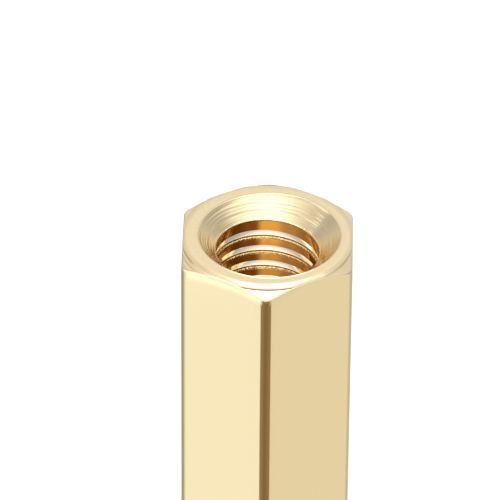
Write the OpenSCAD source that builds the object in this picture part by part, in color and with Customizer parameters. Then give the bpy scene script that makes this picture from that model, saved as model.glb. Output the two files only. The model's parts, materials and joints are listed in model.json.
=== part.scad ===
// Hexagonal standoff, turned, drilled and tapped right through from drawn brass bar.
// The axis is Z and the lower end face lies on z = 0. Two corners of the hexagon lie on
// the Y axis, and two of its flats face along X.

/* [Bar] */
// Wall between the thread and each flat of the drawn hexagonal bar
wall_thickness = 0.75; // [0.6:0.05:3]
// Radius along each of the bar's drawn corners
corner_radius = 0.25; // [0.1:0.05:0.4]
// Length of the standoff from end face to end face
body_length = 12; // [6:0.5:30]

/* [End faces] */
// How far inside the flats the turned chamfer starts
face_inset = 0.12; // [0.05:0.01:0.2]
// Slope of the turned chamfer, measured down from the end face
chamfer_angle = 30; // [15:1:45]

/* [Thread] */
// Diameter of the thread at the bottom of its groove
thread_diameter = 3; // [2:0.1:6]
// How deep the groove is cut into the wall of the drilled hole
thread_depth = 0.125; // [0.05:0.005:0.2]
// Rise of the thread in one turn
thread_pitch = 0.5; // [0.4:0.05:0.8]
// Where round the hole the groove starts, counted from the X axis
thread_start = 46; // [0:1:359]

/* [Countersink] */
// How far the mouth of the countersink stands outside the thread
countersink_width = 0.4; // [0.2:0.05:0.5]
// Included angle of the countersink
countersink_angle = 90; // [60:5:120]

/* [Hidden] */

brass = [0.88, 0.76, 0.50];

// Segments of a round form, and how far a cut runs past the face that it opens
round_segments = 96;
cut_past = 0.5;

// The bar: each corner is an arc about a centre set in from both of its flats. The arc
// stands a hair proud, so that it crosses the flats and doesn't just touch them
across_flats = thread_diameter + 2 * wall_thickness;
bar_sides = 6;
side_angle = 360 / bar_sides;
corner_inset = across_flats / 2 - corner_radius;
corner_reach = corner_inset / cos(side_angle / 2);
flat_width = 2 * corner_inset * tan(side_angle / 2);
arc_proud = 0.0005;
arc_radius = corner_radius + arc_proud;

// The turned ends: a flat ring, and a chamfer that runs out past the corners
face_radius = across_flats / 2 - face_inset;
turned_radius = corner_reach + corner_radius + cut_past;
chamfer_drop = (turned_radius - face_radius) * tan(chamfer_angle);

// The hole and its countersinks
thread_radius = thread_diameter / 2;
drill_radius = thread_radius - thread_depth;
mouth_radius = thread_radius + countersink_width;
cone_slope = tan(countersink_angle / 2);
countersink_depth = (mouth_radius - drill_radius) / cone_slope;

// The thread form: equal flanks, and a root flat of an eighth of the pitch
flank_angle = 30;
root_flat = thread_pitch / 8;
groove_depth_past_wall = 0.05;
groove_mouth_radius = drill_radius - groove_depth_past_wall;

// The groove starts below the lower face and ends above the upper one, in whole steps
steps_per_turn = 28;
groove_bottom = -thread_pitch;
groove_turns = (body_length + 2 * thread_pitch) / thread_pitch;
groove_steps = ceil(groove_turns * steps_per_turn);
section_corners = 4;

// Half the height of the groove at a radius: it narrows towards its root
function groove_half(r) = root_flat / 2 + (thread_radius - r) * tan(flank_angle);

// A corner of the groove's section after some steps up a right-hand helix
function groove_corner(step, r, side) =
    let (turn = step / steps_per_turn, angle = 360 * turn)
    [r * cos(angle), r * sin(angle), groove_bottom + thread_pitch * turn + side * groove_half(r)];

// The whole section of the groove after some steps
function groove_section(step) = [
    groove_corner(step, groove_mouth_radius, -1),
    groove_corner(step, thread_radius, -1),
    groove_corner(step, thread_radius, 1),
    groove_corner(step, groove_mouth_radius, 1)
];

// The two triangles that join one side of a section to the same side of the next
function groove_wall(step, side) =
    let (a = section_corners * step + side,
         b = section_corners * step + (side + 1) % section_corners)
    [[a, b, a + section_corners], [b, b + section_corners, a + section_corners]];

// Drawn hexagonal bar with rounded corners
module bar() {
    linear_extrude(body_length) {
        for (side = [0 : bar_sides / 2 - 1])
            rotate(side * side_angle)
                square([across_flats, flat_width], center = true);
        for (corner = [0 : bar_sides - 1])
            rotate((corner + 0.5) * side_angle)
                translate([corner_reach, 0])
                    circle(r = arc_radius, $fn = round_segments);
    }
}

// What the lathe leaves of the bar: flat end rings with a chamfer outside each
module turned_ends() {
    rotate_extrude($fn = round_segments)
        polygon([
            [0, 0],
            [face_radius, 0],
            [turned_radius, chamfer_drop],
            [turned_radius, body_length - chamfer_drop],
            [face_radius, body_length],
            [0, body_length]
        ]);
}

// Drilled hole from end to end
module drilled_hole() {
    translate([0, 0, -cut_past])
        cylinder(r = drill_radius, h = body_length + 2 * cut_past, $fn = round_segments);
}

// Countersink at the lower end
module countersink() {
    translate([0, 0, -cut_past])
        cylinder(
            r1 = mouth_radius + cut_past * cone_slope,
            r2 = drill_radius,
            h = countersink_depth + cut_past,
            $fn = round_segments
        );
}

// Groove that the tap cuts into the wall of the hole
module thread_groove() {
    sections = [for (step = [0 : groove_steps]) each groove_section(step)];
    walls = [for (step = [0 : groove_steps - 1], side = [0 : section_corners - 1])
        each groove_wall(step, side)];
    first_end = [for (side = [0 : section_corners - 1]) section_corners - 1 - side];
    last_end = [for (side = [0 : section_corners - 1]) section_corners * groove_steps + side];
    rotate(thread_start)
        polyhedron(sections, concat(walls, [first_end, last_end]));
}

module standoff() {
    color(brass)
        difference() {
            intersection() {
                bar();
                turned_ends();
            }
            drilled_hole();
            countersink();
            translate([0, 0, body_length])
                mirror([0, 0, 1])
                    countersink();
            thread_groove();
        }
}

standoff();
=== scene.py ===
"""Looks and studio for a turned, tapped brass standoff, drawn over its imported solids.

Lengths are in metres. The axis of the hole is Z, the lower end face lies on z = 0, and two
corners of the hexagon lie on the Y axis.
"""

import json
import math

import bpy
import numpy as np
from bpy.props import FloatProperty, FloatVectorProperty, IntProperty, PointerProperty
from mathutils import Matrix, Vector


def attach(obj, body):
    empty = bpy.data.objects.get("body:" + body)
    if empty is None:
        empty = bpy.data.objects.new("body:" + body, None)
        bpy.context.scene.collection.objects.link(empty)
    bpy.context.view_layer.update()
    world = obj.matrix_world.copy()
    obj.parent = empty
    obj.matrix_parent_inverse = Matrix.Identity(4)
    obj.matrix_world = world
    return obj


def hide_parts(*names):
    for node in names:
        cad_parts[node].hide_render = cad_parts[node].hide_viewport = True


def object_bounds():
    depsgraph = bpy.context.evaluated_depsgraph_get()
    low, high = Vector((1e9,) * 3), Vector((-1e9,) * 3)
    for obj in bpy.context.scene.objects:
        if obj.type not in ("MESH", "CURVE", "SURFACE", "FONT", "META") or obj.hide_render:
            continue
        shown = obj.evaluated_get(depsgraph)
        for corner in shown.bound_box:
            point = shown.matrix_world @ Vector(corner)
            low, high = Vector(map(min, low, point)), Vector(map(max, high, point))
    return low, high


bl_info = {
    "name": "Hexagonal brass standoff",
    "version": (1, 0),
    "blender": (4, 5, 0),
    "location": "3D View > Sidebar > Standoff",
    "description": "Builds a turned and tapped hexagonal brass standoff and its studio",
    "category": "Add Mesh",
}

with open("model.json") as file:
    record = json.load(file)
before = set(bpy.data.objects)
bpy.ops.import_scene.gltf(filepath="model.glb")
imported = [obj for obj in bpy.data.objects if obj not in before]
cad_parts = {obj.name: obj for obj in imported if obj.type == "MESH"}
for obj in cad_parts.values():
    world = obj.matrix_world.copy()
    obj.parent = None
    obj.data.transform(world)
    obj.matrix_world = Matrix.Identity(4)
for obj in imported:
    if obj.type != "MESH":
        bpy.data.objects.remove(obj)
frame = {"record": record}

CAD_LOW, CAD_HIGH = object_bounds()
MM = 0.001
THREAD = next(m for m in frame["record"]["mounts"] if m["name"] == "top_thread")

# Zones of the mesh, which are also the numbers of its material slots
DRAWN, TURNED, CONE, CREST, GROOVE, PAINTED_SHADE_STEP = range(6)

# How far outside the groove's root the rows start that the thread breaks
RUNOUT = 0.01 * MM


def srgb(code):
    """Turn a hex sRGB colour into linear red, green and blue."""
    parts = np.array([int(code[i:i + 2], 16) for i in (1, 3, 5)]) / 255
    linear = np.where(parts <= 0.04045, parts / 12.92, ((parts + 0.055) / 1.055) ** 2.4)
    return tuple(float(v) for v in linear)


def length(name, text, millimetres):
    """A length property with its default given in millimetres."""
    return FloatProperty(
        name=name, description=text, default=millimetres * MM, unit="LENGTH", precision=6
    )


def angle(name, text, degrees):
    """An angle property with its default given in degrees."""
    return FloatProperty(
        name=name, description=text, default=math.radians(degrees), subtype="ANGLE"
    )


def colour(name, text, code):
    """A colour property with its default given as a hex sRGB code."""
    return FloatVectorProperty(
        name=name, description=text, default=srgb(code), subtype="COLOR", min=0, max=1
    )


def number(name, text, value):
    """A plain number property."""
    return FloatProperty(name=name, description=text, default=value, precision=3)


def count(name, text, value):
    """A whole number property."""
    return IntProperty(name=name, description=text, default=value, min=1)


class StandoffSizes(bpy.types.PropertyGroup):
    """Sizes of the turned brass body."""

    across_flats: FloatProperty(
        name="Across flats",
        description="Distance between two opposite flats",
        default=CAD_HIGH.x - CAD_LOW.x,
        unit="LENGTH",
    )
    body_length: FloatProperty(
        name="Length",
        description="Distance between the end faces",
        default=CAD_HIGH.z - CAD_LOW.z,
        unit="LENGTH",
    )
    corner_radius: length("Corner radius", "Radius along the drawn corners", 0.28)
    edge_round: length("Edge round", "Worn round between the flats and the chamfer", 0.06)
    edge_lean: length("Edge lean", "How far the flats lean in at their ends", 0.009)
    face_radius: length("Face radius", "Where the flat end face ends", 2.165)
    ring_drop: length("Ring drop", "How far the sloping ring falls below the face", 0.072)
    step_radius: length("Step radius", "Foot of the small step that the tool left", 2.295)
    step_drop: length("Step drop", "How far the step's foot lies below the face", 0.127)
    chamfer_angle: angle("Chamfer angle", "Slope of the chamfer outside the step", 27.5)
    mouth_radius: length("Mouth radius", "Radius of the countersink at the face", 1.876)
    mouth_shift: length("Mouth shift", "How far the countersink is off the axis", 0.052)
    rim_round: length("Rim round", "Round between the face and the countersink", 0.024)
    rim_lip: length("Rim lip", "Height of the burr raised at the rim", 0.013)
    cone_angle: angle("Cone half angle", "Half of the countersink's included angle", 45)
    crest_radius: FloatProperty(
        name="Crest radius",
        description="Radius of the drilled hole, which the crests keep",
        default=THREAD["dims"]["r_mm"] * MM,
        unit="LENGTH",
    )
    root_radius: length("Root radius", "Radius at the bottom of the thread's groove", 1.505)
    pitch: length("Pitch", "Rise of the thread in one turn", 0.5)
    thread_start: angle("Thread start", "Where round the hole the groove starts", 46)
    tear: length("Tear", "How deep the torn edge of each crest is notched", 0.006)
    flat_steps: count("Flat steps", "Columns of faces across each flat", 24)
    corner_steps: count("Corner steps", "Columns of faces round each corner", 8)


class StandoffFinish(bpy.types.PropertyGroup):
    """Colours and finish of the brass."""

    brass: colour("Brass", "Colour of the bright brass", "#F8E2AF")
    turned_brass: colour("Turned brass", "Colour of the turned ends and countersinks", "#F7E2B8")
    bore_brass: colour("Bore brass", "Colour of the crests down in the thread", "#F8E2AC")
    flank_brass: colour("Flank brass", "Colour of the freshly cut flanks", "#F9EAD2")
    # Dark brown painted on the step below each flank as shade, for the dark line under the flank
    painted_shade_brass: colour("Torn brass", "Colour of the stained step below each flank", "#7A5526")
    drawn_roughness: number("Drawn roughness", "Roughness of the drawn flats", 0.10)
    turned_roughness: number("Turned roughness", "Roughness of the turned ends", 0.24)
    cone_roughness: number("Cone roughness", "Roughness of the countersink", 0.18)
    thread_roughness: number("Thread roughness", "Roughness of the tapped thread", 0.07)
    painted_shade_roughness: number("Torn roughness", "Roughness of the step below each flank", 0.35)


class StandoffStudio(bpy.types.PropertyGroup):
    """Camera, floor, lights and cards."""

    camera_elevation: angle("Camera elevation", "Angle of the view above the horizon", 36.31)
    camera_azimuth: angle("Camera azimuth", "Turn of the view round the standoff", 0.89)
    camera_roll: angle("Camera roll", "Turn of the picture about its centre", 0.441)
    camera_distance: length("Camera distance", "From the camera to the upper face", 138.43)
    lens: number("Lens", "Focal length in millimetres", 378.2)
    face_pixel_x: number("Face pixel x", "Where the upper face's centre shows, of 500", 267.67)
    face_pixel_y: number("Face pixel y", "Where the upper face's centre shows, of 500", 235.13)
    picture_side: number("Picture side", "Side of the square picture in pixels", 500)
    side_level: number("Side level", "Brightness of the room's sides", 0.38)
    back_level: number("Back level", "What the wall behind adds", 0.35)
    high_level: number("High level", "What the room adds above", 0.24)
    front_level: number("Front level", "What the wall in front adds", 0.9)
    window_level: number("Window level", "What the low window in front adds", 0.95)
    window_left: angle("Window left", "Where the window ends at the left", 100)
    window_right: angle("Window right", "Where the window ends at the right", 62)
    window_top: angle("Window top", "How high the window reaches", 32)
    softbox_level: number("Softbox level", "What the softbox overhead adds", 1.6)
    left_colour: colour("Left card", "Colour of the floor low at the left", "#EFF4FF")
    left_level: number("Left level", "Strength of the floor low at the left", 1.17)
    right_level: number("Right level", "Brightness of the floor low at the right", 0.83)
    rear_left_level: number("Rear left level", "Brightness of the floor behind at the left", 0.38)
    rear_right_level: number("Rear right level", "Brightness of the floor behind at the right", 0.57)
    dark_colour: colour("Dark card", "Colour of the dark card low in front", "#877055")
    amber_colour: colour("Amber card", "Colour of the card further out in front", "#B0703C")
    gold_colour: colour("Gold card", "Colour of the card in the hole, in front", "#F0B568")
    brown_colour: colour("Brown card", "Colour of the card in the hole, at the right", "#7F4E26")
    tan_colour: colour("Tan card", "Colour of the card in the hole, at the left", "#BA8B5C")


def rise(value, start, end):
    """Smooth step from 0 at the start to 1 at the end: t t (3 - 2 t)."""
    t = np.clip((value - start) / (end - start), 0, 1)
    return t * t * (3 - 2 * t)


def blend(start, end, share):
    """Mix of two values: the start where the share is 0, and the end where it is 1."""
    return start + (end - start) * share


def grid_faces(index):
    """Quads of a grid of vertex numbers, with repeated corners dropped.

    Row r and column c give the quad (r, c), (r, c+1), (r+1, c+1), (r+1, c). Where two
    corners of a quad are the same vertex it becomes a triangle, and with fewer than three
    different corners it is left out. Returns the corners, one after another, the number of
    corners of each face, and the row of each face.
    """
    quads = np.stack([index[:-1, :-1], index[:-1, 1:], index[1:, 1:], index[1:, :-1]], axis=-1)
    rows = np.repeat(np.arange(quads.shape[0]), quads.shape[1])
    quads = quads.reshape(-1, 4)
    kept = quads != np.roll(quads, 1, axis=1)
    sides = kept.sum(axis=1)
    whole = sides >= 3
    return quads[whole][kept[whole]], sides[whole], rows[whole]


def mesh_object(name, points, faces, zones, materials):
    """Put numpy arrays of points, face corners, side counts and zones into a new object."""
    corners, sides = faces
    mesh = bpy.data.meshes.new(name)
    mesh.vertices.add(len(points))
    mesh.vertices.foreach_set("co", points.astype(np.float32).ravel())
    mesh.loops.add(len(corners))
    mesh.loops.foreach_set("vertex_index", corners.astype(np.int32))
    mesh.polygons.add(len(sides))
    starts = np.concatenate([[0], np.cumsum(sides)[:-1]])
    mesh.polygons.foreach_set("loop_start", starts.astype(np.int32))
    for material in materials:
        mesh.materials.append(material)
    mesh.polygons.foreach_set("material_index", zones.astype(np.int32))
    mesh.update(calc_edges=True)
    mesh.validate()
    mesh.shade_smooth()
    made = bpy.data.objects.new(name, mesh)
    bpy.context.scene.collection.objects.link(made)
    return made


def bar_outline(sizes):
    """Radius and angle of points round the drawn bar, counter-clockwise from the +X flat.

    A flat is the line x = a, with y from -h to h, where a is half the distance across the
    flats and h = (a - c) tan 30 for a corner radius c. A corner is an arc of 60 degrees and
    radius c about (a - c, h). The other five sides are the same points turned by 60 degrees.
    """
    apothem = sizes.across_flats / 2
    inset = apothem - sizes.corner_radius
    half_flat = inset * math.tan(math.radians(30))
    # Narrow columns at each side of a flat keep the corner's shading off it
    edge = 0.985
    inner = 0.95
    middle = np.linspace(-inner, inner, sizes.flat_steps - 3)
    across = np.concatenate([[-1, -edge], middle, [edge]])
    turn = np.linspace(0, math.radians(60), sizes.corner_steps, endpoint=False)
    x = np.concatenate([np.full(len(across), apothem), inset + sizes.corner_radius * np.cos(turn)])
    y = np.concatenate([across * half_flat, half_flat + sizes.corner_radius * np.sin(turn)])
    side = np.arange(6)[:, None] * math.radians(60)
    return np.tile(np.hypot(x, y), 6), (np.arctan2(y, x) + side).ravel()


def waves(theta, across, seed, spacing, amount, drift=0.6):
    """Sum of seeded sine waves that run across rings and drift slowly round them.

    Each wave is cos(2 pi s / w + p + d cos(theta + q)) with a length w near the spacing, so
    its crests are rings that waver. The waves have equal strength and add up to about 1.
    """
    random = np.random.default_rng(seed)
    total = np.zeros(np.broadcast(theta, across).shape)
    for _ in range(amount):
        wave_length = spacing * random.uniform(0.7, 1.5)
        phase, swing = random.uniform(0, 2 * math.pi, 2)
        total += np.cos(2 * math.pi * across / wave_length + phase + drift * np.cos(theta + swing))
    return total / math.sqrt(amount)


def thread_section(sizes):
    """Depth below a crest's lower edge, radius, share of the burr and zone of one turn's points.

    Going down: the flank that faces down at 30 degrees, the flat root, the flank that faces
    up, a small step painted dark brown as shade, the burred upper edge of the next crest, and
    the crest. The depths are in millimetres. The zone belongs to the faces below each point.
    """
    crest = sizes.crest_radius / MM
    root = sizes.root_radius / MM
    points = np.array([
        [0.000, crest, 0, CREST],
        [0.006, crest + 0.008, 0, CREST],
        [0.066, root - 0.006, 0, CREST],
        [0.076, root, 0, GROOVE],
        [0.086, root, 0, GROOVE],
        [0.094, root - 0.006, 0, GROOVE],
        [0.184, crest + 0.061, 0, GROOVE],
        [0.189, crest + 0.056, 0, CREST],
        # The faces below this row take the dark brown painted shade of the step
        [0.192, crest + 0.048, 0, PAINTED_SHADE_STEP],
        [0.218, crest + 0.046, 0, CREST],
        [0.220, crest + 0.030, 0.3, CREST],
        [0.225, crest + 0.022, 1, CREST],
        [0.246, crest + 0.004, 1, CREST],
        [0.260, crest, 1, CREST],
        [0.290, crest, 0, CREST],
        [0.494, crest, 0, CREST],
    ])
    return points[:, 0] * MM, points[:, 1] * MM, points[:, 2], points[:, 3].astype(int)


def torn_edge(theta, turn):
    """Depth of the notches along the helix, from 0 to 1: a product of sine waves."""
    along = theta + 2 * math.pi * turn
    fine = np.sin(61 * along + 2.0 * np.sin(7 * along)) * np.sin(37 * along + 1.3)
    coarse = 0.5 + 0.5 * np.sin(5.3 * along + 1.5 * np.sin(2.1 * along))
    return np.clip(0.5 + fine, 0, 1) * (0.35 + 0.65 * coarse)


def thread_radius(sizes, theta, z):
    """Radius and share of the burr of the tapped wall at an angle and height.

    The phase is the distance below the crest's lower edge, which climbs by one pitch for
    each counter-clockwise turn, taken modulo the pitch. The section is read at the phase.
    """
    depth, radius, share, _ = thread_section(sizes)
    below = first_edge(sizes, theta) - z
    turn = np.floor(below / sizes.pitch)
    phase = below - turn * sizes.pitch
    ends = np.append(depth, sizes.pitch)
    torn = np.interp(phase, ends, np.append(share, 0))
    wall = np.interp(phase, ends, np.append(radius, sizes.crest_radius))
    return run_in(sizes, theta, turn, wall, torn)


def run_in(sizes, theta, turn, wall, torn):
    """Wall radius and burr after the groove's run-in and the notches.

    The groove starts where its middle is 0.60 mm inside an end face, and has its full depth
    from 0.72 mm on, with a smooth step between.
    """
    start = 0.60 * MM
    whole = 0.72 * MM
    groove_middle = 0.11 * MM
    middle = first_edge(sizes, theta) - turn * sizes.pitch - groove_middle
    inside = np.minimum(sizes.body_length - middle, middle)
    full = rise(inside, start, whole)
    notch = sizes.tear * torn * torn_edge(theta, -turn)
    return blend(sizes.crest_radius, wall + notch, full), torn * full


def first_edge(sizes, theta):
    """Height of a crest's lower edge at an angle, for the turn that starts above the face."""
    groove_half = 0.1034 * MM
    turn = (theta - sizes.thread_start) / (2 * math.pi)
    turns_up = math.floor(sizes.body_length / sizes.pitch)
    return sizes.pitch * (turns_up + turn) + groove_half


def end_rows(sizes, outer, theta, mouth, seed):
    """Radius, depth below the end face, burr and zone of one end's rows, from outside inwards.

    The chamfer falls outwards with a plain slope. Inside it are a small step and a sloping
    ring, which are deepest in front, then the flat face, and the countersink is a cone down
    to the thread.
    """
    slope = math.tan(sizes.chamfer_angle)
    cone = math.tan(sizes.cone_angle)
    face = sizes.face_radius
    still = 0 * outer
    outer = outer - sizes.edge_lean
    least_chamfer = 0.004 * MM
    foot = np.minimum(sizes.step_radius, outer - least_chamfer)
    deep = blend(0.35, 1, (0.5 - 0.5 * np.sin(theta)) ** 1.5)
    step_drop = sizes.step_drop * deep - slope * (sizes.step_radius - foot)
    ring_drop = step_drop * sizes.ring_drop / sizes.step_drop
    rows = []
    # Round between the flats and the chamfer: a curve with its corner at the sharp edge,
    # and worn most at the left
    worn_most = math.radians(195)
    round_width = 0.045 * MM
    worn = sizes.edge_round * (1 + 0.4 * np.cos(theta - worn_most))
    edge_drop = step_drop + slope * (outer - foot)
    round_in = np.minimum(round_width, (outer - foot) / 2)
    for t in np.linspace(0, 1, 7):
        radius = outer - round_in * t * t
        depth = edge_drop + worn * (1 - t) ** 2 - slope * round_in * t * t
        rows.append((radius, depth, TURNED))
    # Chamfer, with a few ridges of the tool over the corner at the left
    ridge_at = math.radians(212)
    ridge_spread = math.radians(22)
    ridge_height = 0.008 * MM
    ridge_spacing = 0.1 * MM
    inner_edge = outer - round_in
    ridged = np.exp(-((theta - ridge_at) / ridge_spread) ** 2) * ridge_height
    for t in np.linspace(0, 1, 12)[1:]:
        radius = blend(inner_edge, foot, t)
        wave = np.cos(2 * math.pi * (radius - foot) / ridge_spacing)
        ridge = ridged * math.sin(math.pi * t) * wave
        rows.append((radius, step_drop + slope * (radius - foot) + ridge, TURNED))
    # Step, then the sloping ring up to the face, with its upper edge rounded
    step_in = 0.008 * MM
    edge_in = 0.003 * MM
    edge_depth = 0.001 * MM
    ring_end = foot - step_in
    for t in (0.25, 0.75):
        rows.append((foot - t * step_in, blend(step_drop, ring_drop, t), TURNED))
    for t in np.linspace(0, 1, 5)[:-1]:
        rows.append((blend(ring_end, face, t), ring_drop * (1 - t), TURNED))
    rows.append((face - edge_in, edge_depth, TURNED))
    # Flat face, in towards the rim and its small burr
    flat_start = face - 4 * edge_in
    rim_flat = 0.02 * MM
    rim_out = mouth + sizes.rim_round + rim_flat
    for t in np.linspace(0, 1, 6)[1:]:
        rows.append((blend(flat_start, rim_out, t), 0, TURNED))
    for t in np.linspace(0, 1, 8)[1:]:
        radius = rim_out - (sizes.rim_round * 2 + rim_flat) * t
        fall = np.maximum(mouth - radius, 0) / cone
        lip = sizes.rim_lip * math.sin(math.pi * t) ** 2
        rows.append((radius, fall - lip, TURNED if t < 0.5 else CONE))
    # Countersink down to the start of the rows that the thread breaks
    mark_spacing = 0.09 * MM
    mark_height = 0.0032 * MM
    cone_start = mouth - sizes.rim_round
    cone_end = sizes.root_radius + RUNOUT
    for t in np.linspace(0, 1, 20)[1:]:
        radius = blend(cone_start, cone_end, t)
        marks = waves(theta, radius, seed, mark_spacing, 5) * mark_height
        rows.append((radius, (mouth - radius) / cone + marks * min(1, 8 * (1 - t), 8 * t), CONE))
    return [(radius + still, depth + still, still, zone) for radius, depth, zone in rows]


def runout_rows(sizes, theta, mouth, top):
    """Rows from the countersink to the wall: the larger of the two radii, torn at the edge."""
    torn_reach = 0.022 * MM
    cone = math.tan(sizes.cone_angle)
    start = (mouth - sizes.root_radius - RUNOUT) / cone
    meet = (mouth - sizes.crest_radius) / cone
    end = np.max(meet) + 0.06 * MM
    rows = [(blend(start, meet, t), CONE) for t in np.linspace(0, 0.8, 8)[1:]]
    rows += [(blend(start, meet, t), CREST) for t in (0.87, 0.94, 1)]
    rows += [(blend(meet, end, t), CREST) for t in (0.15, 0.4, 1)]
    made = []
    for depth, zone in rows:
        z = sizes.body_length - depth if top else depth
        wall, burr = thread_radius(sizes, theta, z)
        torn = np.maximum(burr, np.exp(-((depth - meet) / torn_reach) ** 2))
        made.append((np.maximum(wall, mouth - depth * cone), depth, torn, zone))
    return made


def ring_rows(sizes, outer, theta):
    """Radius, height, burr and zone of the rows above the thread and of those below it.

    The first rows run up the drawn flats, which lean in a little at each end, and in over
    the upper end. The others run out over the lower end.
    """
    top = sizes.body_length
    mouth = sizes.mouth_radius + sizes.mouth_shift * np.cos(theta)
    mouth_under = sizes.mouth_radius + sizes.mouth_shift * np.cos(theta - 2)
    upper = end_rows(sizes, outer, theta, mouth, 11)
    upper += runout_rows(sizes, theta, mouth, True)
    lower = end_rows(sizes, outer, -theta, mouth_under, 23)
    lower += runout_rows(sizes, theta, mouth_under, False)
    low = lower[0][1]
    high = top - upper[0][1]
    # Close rows at both ends of the flats carry the lean
    lean_reach = 0.02
    levels = np.concatenate([[0.001, 0.006], np.linspace(0.020, 0.980, 12), [0.987, 0.994, 0.999]])
    inside = np.minimum(levels, 1 - levels)
    lean = sizes.edge_lean * np.clip(1 - inside / lean_reach, 0, 1) ** 2
    wall = [(outer - d, blend(low, high, t), 0 * outer, DRAWN) for t, d in zip(levels, lean)]
    return wall + [(r, top - d, b, zone) for r, d, b, zone in upper], lower[::-1]


def helix_rows(sizes, theta, z_top, z_low):
    """Radius, height, burr and zone of rows that follow the helix past two heights.

    Each turn has the rows of the thread's section, and every row climbs by one pitch for
    each turn round the axis. The last value is the number of rows in one turn.
    """
    depth, radius, share, zone = thread_section(sizes)
    turns = math.ceil((z_top - z_low) / sizes.pitch) + 3
    start = first_edge(sizes, 0.0)
    start += sizes.pitch * math.ceil((z_top - start) / sizes.pitch)
    row_drop = (np.arange(turns)[:, None] * sizes.pitch + depth[None, :]).ravel()
    height = start - row_drop[:, None] + sizes.pitch * theta[None, :] / (2 * math.pi)
    over = first_edge(sizes, theta)[None, :] - height - np.tile(depth, turns)[:, None]
    wall_radius, burr = run_in(
        sizes, theta[None, :], np.round(over / sizes.pitch),
        np.tile(radius, turns)[:, None], np.tile(share, turns)[:, None],
    )
    return wall_radius, height, burr, np.tile(zone, turns), len(depth)


def closed_columns(index):
    """A grid of vertex numbers with its first column added again after the last."""
    return np.concatenate([index, index[:, :1]], axis=1)


def body_surface(sizes):
    """Points, faces, zones and burr of the whole standoff, as one closed surface of rows.

    The rows run up the drawn flats, in over the upper end, down the tapped hole as a sheared
    grid that follows the helix, and out over the lower end back to the first row. Where the
    sheared grid runs past the level rings at its ends, it takes their vertices.
    """
    outer, theta = bar_outline(sizes)
    columns = len(theta)
    rings, under = ring_rows(sizes, outer, theta)
    z_top = float(rings[-1][1][0])
    z_low = float(under[0][1][0])
    wall_radius, height, burr, helix_zone, keys = helix_rows(sizes, theta, z_top, z_low)
    spare = 0.004 * MM
    above = height > z_top - spare
    below = height < z_low + spare
    own = ~(above | below)
    # Vertex numbers: rings first, then the lower rings, then the helical points
    ring_index = np.arange(len(rings) * columns).reshape(len(rings), columns)
    under_index = ring_index.size + np.arange(len(under) * columns).reshape(len(under), columns)
    helix_index = np.zeros(height.shape, int)
    helix_index[own] = ring_index.size + under_index.size + np.arange(own.sum())
    helix_index = np.where(above, ring_index[-1][None, :], helix_index)
    helix_index = np.where(below, under_index[0][None, :], helix_index)
    # The helix joins its own start one turn higher, so its last column lies a turn lower
    seam = np.concatenate([np.full(keys, ring_index[-1, 0]), helix_index[:-keys, 0]])
    helix_grid = np.concatenate([helix_index, seam[:, None]], axis=1)
    ring_grid = closed_columns(ring_index)
    under_grid = closed_columns(under_index)
    closing = np.concatenate([under_grid[-1:], ring_grid[:1]])
    # Radius, height and burr of the rings, then of the helical points
    flat_rows = [np.array([row[k] for row in rings + under]).ravel() for k in range(3)]
    radius_of, height_of, burr_of = (
        np.concatenate([flat, curved[own]])
        for flat, curved in zip(flat_rows, (wall_radius, height, burr))
    )
    helix_theta = (theta[None, :] + 0 * height)[own]
    theta_of = np.concatenate([np.tile(theta, len(rings + under)), helix_theta])
    points = np.stack([radius_of * np.cos(theta_of), radius_of * np.sin(theta_of), height_of], axis=1)
    grids = (
        (ring_grid, np.array([row[3] for row in rings])[1:]),
        (helix_grid, helix_zone),
        (under_grid, np.array([row[3] for row in under])[:-1]),
        (closing, np.array([DRAWN])),
    )
    parts = []
    for grid, row_zone in grids:
        corners, sides, rows = grid_faces(grid)
        parts.append((corners, sides, row_zone[rows]))
    corners, sides, zones = (np.concatenate(p) for p in zip(*parts))
    return points, (corners, sides), zones, burr_of


def add_node(tree, kind, settings=None, links=None):
    """Add a shader node, set its named inputs or attributes, and link its inputs."""
    node = tree.nodes.new(kind)
    for key, value in (settings or {}).items():
        if isinstance(key, int) or key in node.inputs:
            node.inputs[key].default_value = value
        else:
            setattr(node, key, value)
    for key, socket in (links or {}).items():
        tree.links.new(socket, node.inputs[key])
    return node


def new_material(name):
    """An empty node material and its output node."""
    material = bpy.data.materials.new(name)
    material.use_nodes = True
    material.node_tree.nodes.clear()
    return material, material.node_tree, material.node_tree.nodes.new("ShaderNodeOutputMaterial")


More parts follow.
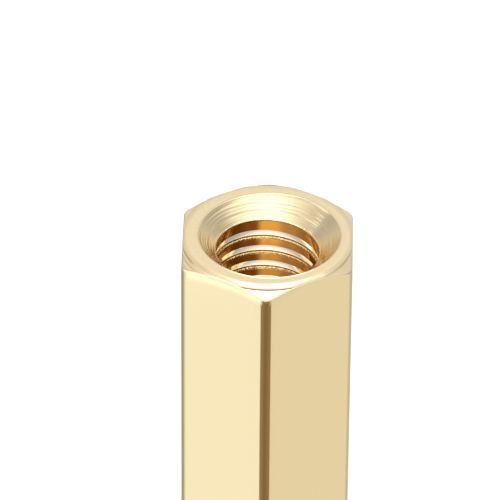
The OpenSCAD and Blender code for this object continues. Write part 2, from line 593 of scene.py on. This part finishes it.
def brass(name, shade, roughness, marks, centre=0):
    """Metallic brass with marks: each a way of measuring, a size per axis and a depth.

    The way "rings" measures the distance from an upright line, the height and x. The centre
    is how many millimetres that line stands from the axis, along X. The way "plain" measures
    x, y and z. The way "burr" is plain, and weighted by the burr on the mesh.
    """
    material, tree, output = new_material(name)
    where = add_node(tree, "ShaderNodeTexCoord").outputs["Object"]
    shader = add_node(
        tree, "ShaderNodeBsdfPrincipled",
        {"Base Color": (*shade, 1), "Metallic": 1.0, "Roughness": roughness},
    )
    tree.links.new(shader.outputs[0], output.inputs[0])
    ways = {"plain": where, "burr": where}
    parts = add_node(tree, "ShaderNodeSeparateXYZ", None, {0: where})
    aside = add_node(
        tree, "ShaderNodeMath", {"operation": "SUBTRACT", 1: centre * MM}, {0: parts.outputs["X"]}
    )
    flat = add_node(tree, "ShaderNodeCombineXYZ", None, {"X": aside.outputs[0], "Y": parts.outputs["Y"]})
    radius = add_node(tree, "ShaderNodeVectorMath", {"operation": "LENGTH"}, {0: flat.outputs[0]})
    rings = add_node(
        tree, "ShaderNodeCombineXYZ", None,
        {"X": radius.outputs["Value"], "Y": parts.outputs["Z"], "Z": parts.outputs["X"]},
    )
    ways["rings"] = rings.outputs[0]
    normal = None
    for way, size, depth in marks:
        sized = add_node(
            tree, "ShaderNodeMapping",
            {"vector_type": "POINT", "Scale": [1 / (s * MM) for s in size]},
            {"Vector": ways[way]},
        )
        noise = add_node(
            tree, "ShaderNodeTexNoise", {"Scale": 1.0, "Detail": 2.0}, {"Vector": sized.outputs[0]}
        )
        height = noise.outputs["Fac"]
        if way == "burr":
            share = add_node(tree, "ShaderNodeAttribute", {"attribute_name": "burr"})
            height = add_node(
                tree, "ShaderNodeMath", {"operation": "MULTIPLY"},
                {0: height, 1: share.outputs["Fac"]},
            ).outputs[0]
        links = {"Height": height}
        if normal:
            links["Normal"] = normal
        bump = add_node(tree, "ShaderNodeBump", {"Strength": 1.0, "Distance": depth * MM}, links)
        normal = bump.outputs["Normal"]
    tree.links.new(normal, shader.inputs["Normal"])
    return material


class STANDOFF_OT_body(bpy.types.Operator):
    """Build the turned and tapped brass body"""

    bl_idname = "standoff.body"
    bl_label = "Build standoff body"

    def execute(self, context):
        sizes = context.scene.standoff_sizes
        finish = context.scene.standoff_finish
        # Drawn bar: bright, with faint lines along it where the die dragged, and slight waves
        drawn = brass(
            "drawn_brass", finish.brass, finish.drawn_roughness,
            [("plain", (0.05, 0.05, 6), 0.0001), ("plain", (0.5, 0.5, 1.2), 0.0024)],
        )
        # Turned face: rings of the tool's point, and a mottle that breaks up the reflection
        turned = brass(
            "turned_brass", finish.turned_brass, finish.turned_roughness,
            [("rings", (0.05, 0.05, 1.5), 0.0018), ("plain", (0.14, 0.14, 0.14), 0.0022)],
        )
        # Countersink: coarse and fine rings off the axis, which show as crossing bands
        countersunk = brass(
            "countersunk_brass", finish.turned_brass, finish.cone_roughness,
            [("rings", (0.075, 0.075, 2.0), 0.0105), ("rings", (0.028, 0.028, 0.9), 0.0028)],
            centre=0.1,
        )
        # Crests: smooth and deep in colour, with a torn burr along their upper edges
        crests = brass(
            "tapped_brass", finish.bore_brass, finish.thread_roughness,
            [("rings", (0.012, 0.012, 0.8), 0.0013), ("burr", (0.05, 0.05, 0.06), 0.026)],
        )
        # Groove: freshly cut and pale, so that it shows white where the window lights it
        groove = brass(
            "groove_brass", finish.flank_brass, finish.thread_roughness,
            [("rings", (0.05, 0.05, 0.8), 0.0006)],
        )
        # Step below each flank: a dark brown painted shade, so that it draws a dark line over the burr
        step = brass(
            "painted_shade_brass", finish.painted_shade_brass, finish.painted_shade_roughness,
            [("plain", (0.05, 0.05, 0.05), 0.002)],
        )
        points, faces, zones, burr = body_surface(sizes)
        materials = [drawn, turned, countersunk, crests, groove, step]
        body = mesh_object("standoff_body", points, faces, zones, materials)
        share = body.data.attributes.new("burr", "FLOAT", "POINT")
        share.data.foreach_set("value", burr.astype(np.float32))
        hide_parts("standoff")
        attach(body, "root")
        return {"FINISHED"}


def grid_object(name, points, material):
    """An object with the faces of a grid of points."""
    rows, columns = points.shape[:2]
    corners, sides, _ = grid_faces(np.arange(rows * columns).reshape(rows, columns))
    zones = np.zeros(len(sides))
    return mesh_object(name, points.reshape(-1, 3), (corners, sides), zones, [material])


def glow(name, points, colours):
    """A grid of glowing points, with a colour on each, that only reflections see."""
    material, tree, output = new_material(name)
    tone = add_node(tree, "ShaderNodeAttribute", {"attribute_name": "tone"})
    shader = add_node(tree, "ShaderNodeEmission", {"Strength": 1.0}, {"Color": tone.outputs["Color"]})
    tree.links.new(shader.outputs[0], output.inputs[0])
    made = grid_object(name, points, material)
    values = np.concatenate([colours, np.ones((*colours.shape[:2], 1))], axis=-1)
    attribute = made.data.attributes.new("tone", "FLOAT_COLOR", "POINT")
    attribute.data.foreach_set("color", values.astype(np.float32).ravel())
    made.visible_camera = False
    made.visible_diffuse = False
    made.visible_transmission = False
    made.visible_shadow = False


def room_tone(studio, azimuth, elevation):
    """Brightness of the room by direction, in degrees; azimuth 0 is -Y and 90 is +X.

    Dim sides that brighten upwards, a bell-shaped wall behind and another high in front, a
    low window with clear edges in front, and the softbox overhead.
    """
    aside = np.abs(azimuth)
    behind = np.exp(-((180 - aside) / 57) ** 2) * (1.5 - 0.5 * rise(elevation, 10, 30))
    front_width = np.where(azimuth > 0, 130, 75)
    front = np.exp(-(azimuth / front_width) ** 2) * (1 - rise(aside, 85, 125))
    front = front * rise(elevation, 34, 50)
    left = math.degrees(studio.window_left)
    right = math.degrees(studio.window_right)
    top = math.degrees(studio.window_top)
    blur = 3
    across = rise(azimuth, -left - blur, -left + blur)
    across = across * (1 - rise(azimuth, right - blur, right + blur))
    window = across * rise(elevation, -5, -1) * (1 - rise(elevation, top - blur, top + blur))
    return (
        studio.side_level
        + studio.back_level * behind
        + studio.high_level * rise(elevation, 20, 46)
        + studio.front_level * front
        + studio.window_level * window
        + studio.softbox_level * rise(elevation, 60, 74)
    )


def reflection_dome(studio):
    """A dome with the tone of the room: 0.15 (sin a cos e, -cos a cos e, sin e) metres."""
    radius = 0.15
    azimuth = np.linspace(-180, 180, 181)[:, None] + np.zeros((1, 48))
    elevation = np.linspace(-4, 90, 48)[None, :] + np.zeros((181, 1))
    a = np.radians(azimuth)
    e = np.radians(elevation)
    points = radius * np.stack([np.sin(a) * np.cos(e), -np.cos(a) * np.cos(e), np.sin(e)], axis=-1)
    tone = room_tone(studio, azimuth, elevation)
    glow("dome", points, tone[:, :, None] * np.ones(3))


def left_floor(studio):
    """Colour of the floor low at the left."""
    return np.array(studio.left_colour) * studio.left_level


def front_tone(studio, azimuth, distance):
    """Floor in front: pale at the sides, with a card that is dark near and amber far out."""
    aside = np.abs(azimuth)
    far = rise(distance, 16.5 * MM, 21 * MM)
    right = np.full(3, studio.right_level)
    floor = np.where(azimuth < 0, left_floor(studio) * (1 + 0.38 * far), right)
    dark = np.array(studio.dark_colour)
    card = blend(dark, np.array(studio.amber_colour), rise(distance, 20 * MM, 26 * MM))
    share = 0.08 * rise(aside, 5, 40) + 0.92 * rise(aside, 53, 58)
    share = blend(share, 1, far * rise(aside, 36, 48))
    return blend(card, floor, share)


def right_tone(studio, azimuth, distance):
    """Floor at the right, dimmer towards the back."""
    return blend(np.full(3, studio.right_level), studio.rear_right_level, rise(azimuth, 80, 116))


def left_tone(studio, azimuth, distance):
    """Floor at the left, dimmer towards the back."""
    return blend(left_floor(studio), studio.rear_left_level, rise(-azimuth, 62, 112))


def rear_tone(studio, azimuth, distance):
    """Floor behind, dimmest at the left."""
    return blend(studio.rear_left_level, studio.rear_right_level, rise(azimuth, 230, 130))


def floor_glow(studio, name, corner, azimuths, height, tone_at):
    """A wedge of the floor that opens from one of the bar's corners, coloured by a function."""
    reaches = (0.1, 10, 16, 17, 18, 19, 20, 22, 24, 30, 60, 120)
    azimuth = np.linspace(*azimuths, 61)[:, None]
    distance = np.array(reaches)[None, :] * MM
    x = corner[0] + distance * np.sin(np.radians(azimuth))
    y = corner[1] - distance * np.cos(np.radians(azimuth))
    points = np.stack([x, y, height + 0 * x], axis=-1)
    colours = tone_at(studio, azimuth[:, :, None], distance[:, :, None]) + 0 * points
    glow(name, points, colours)


def floor_glows(studio, across_flats):
    """Bright floor at the left and right with a dark card in front, and dimmer floor behind."""
    side = across_flats / 2
    reach = side / math.cos(math.radians(30))
    low = 0.05 * MM
    high = 0.10 * MM
    floor_glow(studio, "front_glow", (0, -reach), (-90, 90), low, front_tone)
    floor_glow(studio, "right_glow", (side, -reach / 2), (62, 180), high, right_tone)
    floor_glow(studio, "left_glow", (-side, -reach / 2), (-62, -180), high, left_tone)
    floor_glow(studio, "rear_glow", (0, reach), (90, 270), low, rear_tone)


def hole_glow(studio, sizes):
    """A card curved inside the front of the hole, which the crests behind reflect.

    It is the part of a cylinder a little inside the crests, from 2 to 6 mm below the face:
    golden in the middle with a clear edge, tan at the left and brown at the right. At the
    sides it starts 1.2 mm below the face.
    """
    gap = 0.06 * MM
    foot = 6
    azimuth = np.linspace(-130, 130, 66)[:, None]
    upper = 2 - 0.8 * rise(np.abs(azimuth), 50, 80)
    depth = blend(upper, foot, np.linspace(0, 1, 9)[None, :] ** 2)
    radius = sizes.crest_radius - gap
    x = radius * np.sin(np.radians(azimuth)) + 0 * depth
    y = -radius * np.cos(np.radians(azimuth)) + 0 * depth
    points = np.stack([x, y, sizes.body_length - depth * MM + 0 * x], axis=-1)
    turn = azimuth[:, :, None]
    right = np.array(studio.brown_colour) * (1 - 0.5 * rise(turn, 60, 110))
    left = np.array(studio.tan_colour) * (1 - 0.35 * rise(-turn, 80, 125))
    sides = np.where(turn > 0, right, left)
    middle = rise(turn, -62, -24) * (1 - rise(turn, 18, 40))
    fade = 1.04 - 0.38 * rise(depth[:, :, None], 2.4, 3.8)
    glow("hole_glow", points, blend(sides, np.array(studio.gold_colour), middle) * fade)


def studio_floor():
    """A plain white floor that keeps the shadow and shows white in reflections."""
    material, tree, output = new_material("white_floor")
    paint = add_node(tree, "ShaderNodeBsdfDiffuse", {"Color": (0.9, 0.9, 0.9, 1)})
    shine = add_node(tree, "ShaderNodeEmission", {"Color": (1, 1, 1, 1), "Strength": 0.6})
    both = add_node(tree, "ShaderNodeAddShader", None, {0: paint.outputs[0], 1: shine.outputs[0]})
    tree.links.new(both.outputs[0], output.inputs[0])
    half_side = 0.5
    below = 0.02 * MM
    line = np.linspace(-half_side, half_side, 3)
    x, y = np.meshgrid(line, line, indexing="ij")
    grid_object("floor", np.stack([x, y, 0 * x - below], axis=-1), material)


def studio_world(scene):
    """White for the camera and for reflections, and a plain level for the floor's light."""
    world = bpy.data.worlds.new("studio_world")
    world.use_nodes = True
    tree = world.node_tree
    tree.nodes.clear()
    output = tree.nodes.new("ShaderNodeOutputWorld")
    rays = tree.nodes.new("ShaderNodeLightPath")
    seen = add_node(
        tree, "ShaderNodeMath", {"operation": "MAXIMUM"},
        {0: rays.outputs["Is Camera Ray"], 1: rays.outputs["Is Glossy Ray"]},
    )
    shown = add_node(
        tree, "ShaderNodeMath", {"operation": "MAXIMUM"},
        {0: seen.outputs[0], 1: rays.outputs["Is Transmission Ray"]},
    )
    plain = add_node(tree, "ShaderNodeBackground", {"Color": (1, 1, 1, 1), "Strength": 0.5})
    white = add_node(tree, "ShaderNodeBackground", {"Color": (1, 1, 1, 1), "Strength": 1.0})
    mix = add_node(
        tree, "ShaderNodeMixShader", None,
        {0: shown.outputs[0], 1: plain.outputs[0], 2: white.outputs[0]},
    )
    tree.links.new(mix.outputs[0], output.inputs[0])
    scene.world = world


def overhead_lamp(scene):
    """A wide, weak lamp that draws the soft shadow and isn't seen in reflections."""
    lamp = bpy.data.lights.new("overhead_lamp", "AREA")
    lamp.shape = "DISK"
    lamp.size = 0.12
    lamp.energy = 0.05
    holder = bpy.data.objects.new("overhead_lamp", lamp)
    holder.location = (0.02, -0.02, 0.15)
    holder.visible_glossy = False
    scene.collection.objects.link(holder)


def studio_camera(scene, studio, top):
    """The camera of the photo: it looks down at the upper face from a little to the right."""
    turn = Matrix.Rotation(studio.camera_azimuth, 3, "Z")
    elevation = studio.camera_elevation
    back = turn @ Vector((0, -math.cos(elevation), math.sin(elevation)))
    level = turn @ Vector((1, 0, 0))
    upright = turn @ Vector((0, math.sin(elevation), math.cos(elevation)))
    cosine = math.cos(studio.camera_roll)
    sine = math.sin(studio.camera_roll)
    right = level * cosine + upright * sine
    up = upright * cosine - level * sine
    data = bpy.data.cameras.new("camera")
    data.sensor_width = 36
    data.lens = studio.lens
    data.clip_start = 0.001
    data.clip_end = 10
    per_pixel = studio.camera_distance * data.sensor_width / data.lens / studio.picture_side
    aside = (studio.face_pixel_x - studio.picture_side / 2) * per_pixel
    above = (studio.picture_side / 2 - studio.face_pixel_y) * per_pixel
    camera = bpy.data.objects.new("camera", data)
    camera.location = Vector((0, 0, top)) + back * studio.camera_distance - right * aside - up * above
    axes = Matrix((right, up, back)).transposed()
    camera.rotation_euler = axes.to_euler()
    scene.collection.objects.link(camera)
    scene.camera = camera


class STANDOFF_OT_studio(bpy.types.Operator):
    """Set up the camera, the floor, the world, the dome, the cards and the lamp"""

    bl_idname = "standoff.studio"
    bl_label = "Build studio"

    def execute(self, context):
        scene = context.scene
        studio = scene.standoff_studio
        sizes = scene.standoff_sizes
        scene.view_settings.view_transform = "Standard"
        studio_camera(scene, studio, sizes.body_length)
        studio_floor()
        studio_world(scene)
        scene.cycles.max_bounces = 16
        scene.cycles.glossy_bounces = 14
        reflection_dome(studio)
        floor_glows(studio, sizes.across_flats)
        hole_glow(studio, sizes)
        overhead_lamp(scene)
        return {"FINISHED"}


class STANDOFF_PT_panel(bpy.types.Panel):
    """Lists the standoff's settings and operators"""

    bl_idname = "STANDOFF_PT_panel"
    bl_label = "Standoff"
    bl_space_type = "VIEW_3D"
    bl_region_type = "UI"
    bl_category = "Standoff"

    def draw(self, context):
        scene = context.scene
        for group in (scene.standoff_sizes, scene.standoff_finish, scene.standoff_studio):
            box = self.layout.box()
            for key in group.__annotations__:
                box.prop(group, key)
        self.layout.operator("standoff.body")
        self.layout.operator("standoff.studio")


CLASSES = (
    StandoffSizes,
    StandoffFinish,
    StandoffStudio,
    STANDOFF_OT_body,
    STANDOFF_OT_studio,
    STANDOFF_PT_panel,
)


def register():
    """Register the classes and attach the settings to the scene."""
    for item in CLASSES:
        bpy.utils.register_class(item)
    bpy.types.Scene.standoff_sizes = PointerProperty(type=StandoffSizes)
    bpy.types.Scene.standoff_finish = PointerProperty(type=StandoffFinish)
    bpy.types.Scene.standoff_studio = PointerProperty(type=StandoffStudio)


def unregister():
    """Detach the settings and unregister the classes."""
    del bpy.types.Scene.standoff_studio
    del bpy.types.Scene.standoff_finish
    del bpy.types.Scene.standoff_sizes
    for item in reversed(CLASSES):
        bpy.utils.unregister_class(item)


def main():
    """Build everything."""
    register()
    bpy.ops.standoff.body()
    bpy.ops.standoff.studio()


if __name__ == "__main__":
    main()
